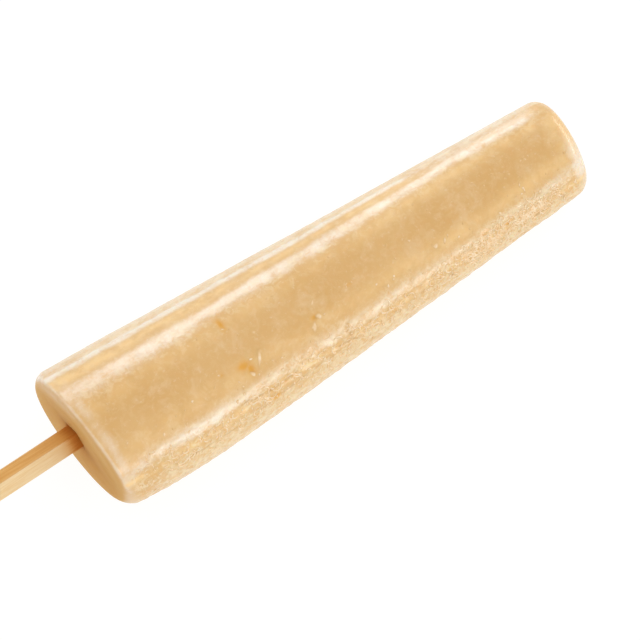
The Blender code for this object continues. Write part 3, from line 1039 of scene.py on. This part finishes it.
TABLE_REACH = 30.0
TABLE_GREY = (0.20, 0.20, 0.20, 1)
TABLE_GLOW = 0.86
table_corners = [(x * TABLE_REACH, y * TABLE_REACH, 0) for x, y in ((-1, -1), (1, -1), (1, 1), (-1, 1))]
table_mesh = bpy.data.meshes.new("table_top")
table_mesh.from_pydata(table_corners, [], [(0, 1, 2, 3)])
table = bpy.data.objects.new("table_top", table_mesh)
bpy.context.scene.collection.objects.link(table)
top = Recipe(bpy.data.materials.new("table_top"))
top.put(top.shader, "Base Color", TABLE_GREY)
top.put(top.shader, "Roughness", 0.9)
top.put(top.shader, "Specular IOR Level", 0.0)
top.put(top.shader, "Emission Color", (1.0, 1.0, 1.0, 1))
top.put(top.shader, "Emission Strength", TABLE_GLOW)
table_mesh.materials.append(top.owner)


# The light. A white cloth tent all round, dimmer beyond the mouth so that the end face reads darker,
# and soft strip lamps close to the bar that only its sheen picks up.

TENT_LIGHT = 1.00
TENT_DIM = 0.58
TENT_RIGHT = 0.14
TENT_LEFT = 0.16
tent = Recipe(bpy.data.worlds.new("white_tent"))
ways = tent.add("ShaderNodeTexCoord").outputs["Generated"]
split = tent.add("ShaderNodeSeparateXYZ", Vector=ways).outputs
beyond_mouth = tent.times(tent.fit(split["X"], -1.0, -0.1, 1.0, 0.0), tent.fit(split["Z"], 0.03, 0.15))
dimmed = tent.less(TENT_LIGHT, tent.times(beyond_mouth, TENT_DIM))
right_side = tent.fit(split["Y"], -1.0, 0.0, 1 + TENT_RIGHT, 1.0)
left_side = tent.fit(split["Y"], 0.2, 1.0, 1.0, 1 + TENT_LEFT)
tent.put(tent.shader, "Strength", tent.times(dimmed, tent.times(right_side, left_side)))
tent.put(tent.shader, "Color", (1, 1, 1, 1))
bpy.context.scene.world = tent.owner


def strip(name, start, end, width, glow, facing_place):
    """A soft strip lamp from start to end, facing a place, which shows only in the sheen of things."""
    start = Vector(start)
    end = Vector(end)
    span = end - start
    light = bpy.data.lights.new(name, "AREA")
    light.shape = "RECTANGLE"
    light.size = span.length
    light.size_y = width
    light.energy = glow * pi * span.length * width
    lamp = bpy.data.objects.new(name, light)
    bpy.context.scene.collection.objects.link(lamp)
    centre = (start + end) / 2
    facing = (Vector(facing_place) - centre).normalized()
    along_span = span.normalized()
    away = (-facing - along_span * (-facing).dot(along_span)).normalized()
    upright = away.cross(along_span)
    turn = Matrix((along_span, upright, away)).transposed()
    lamp.matrix_world = Matrix.Translation(centre) @ turn.to_4x4()
    lamp.visible_camera = False
    lamp.visible_diffuse = False


def by_bar(x, y, z):
    """A place given from the table under the middle of the bar."""
    return Vector(((bar_low.x + bar_high.x) / 2 + x, y, z))


near_part = by_bar(-0.045, 0.01, 0.030)
middle_part = by_bar(0.000, 0.01, 0.028)
far_part = by_bar(0.042, 0.01, 0.024)
mouth_place = Vector((bar_low.x, 0, 0.03))
tip_place = Vector((bar_high.x, 0, 0.02))
# Each strip: its name, its two ends, its width, how bright it is and what it faces.
STRIPS = [
    ("left_strip_near", by_bar(-0.055, 0.12, 0.096), by_bar(0.004, 0.12, 0.080), 0.040, 6.2, near_part),
    ("left_strip_middle", by_bar(0.000, 0.12, 0.082), by_bar(0.042, 0.12, 0.053), 0.040, 8.3, middle_part),
    ("left_strip_far", by_bar(0.020, 0.045, 0.0317), by_bar(0.070, 0.045, 0.0125), 0.013, 5.3, far_part),
    ("right_strip", by_bar(-0.045, -0.12, 0.050), by_bar(0.110, -0.12, 0.016), 0.028, 8.5, middle_part),
    ("mouth_top_strip", (-0.24, -0.10, 0.19), (-0.24, 0.12, 0.19), 0.09, 9.0, mouth_place),
    ("mouth_left_strip", (-0.22, 0.12, 0.16), (-0.16, 0.26, 0.02), 0.07, 9.0, mouth_place),
    ("mouth_right_strip", (-0.22, -0.12, 0.15), (-0.18, -0.24, 0.02), 0.06, 4.5, mouth_place),
    ("tip_strip", (0.40, -0.16, 0.085), (0.40, 0.20, 0.085), 0.08, 8.5, tip_place),
]
for lamp_parts in STRIPS:
    strip(*lamp_parts)


# The view. From almost straight above and a little from the stick's side, with a long lens,
# turned so that the bar slants up to the right and its stick leads out at the lower left.

LENS = 279.0
SENSOR_WIDTH = 36
VIEW_DISTANCE = 1.0
VIEW_ROLL = radians(32.88)
aim = Vector((-0.00457 + shift[0], -0.00428 + shift[1], 0.015))
towards = Vector((-0.202, -0.160, 1.0)).normalized()
camera_data = bpy.data.cameras.new("view")
camera_data.lens = LENS
camera_data.sensor_width = SENSOR_WIDTH
camera_data.clip_start = 0.01
camera_data.clip_end = 100
camera = bpy.data.objects.new("view", camera_data)
bpy.context.scene.collection.objects.link(camera)
level = (Vector((1, 0, 0)) - towards * towards.x).normalized()
over = towards.cross(level)
right = level * cos(VIEW_ROLL) - over * sin(VIEW_ROLL)
upward = level * sin(VIEW_ROLL) + over * cos(VIEW_ROLL)
camera_turn = Matrix((right, upward, towards)).transposed().to_4x4()
camera.matrix_world = Matrix.Translation(aim + towards * VIEW_DISTANCE) @ camera_turn
bpy.context.scene.camera = camera
bpy.context.scene.view_settings.view_transform = "Standard"
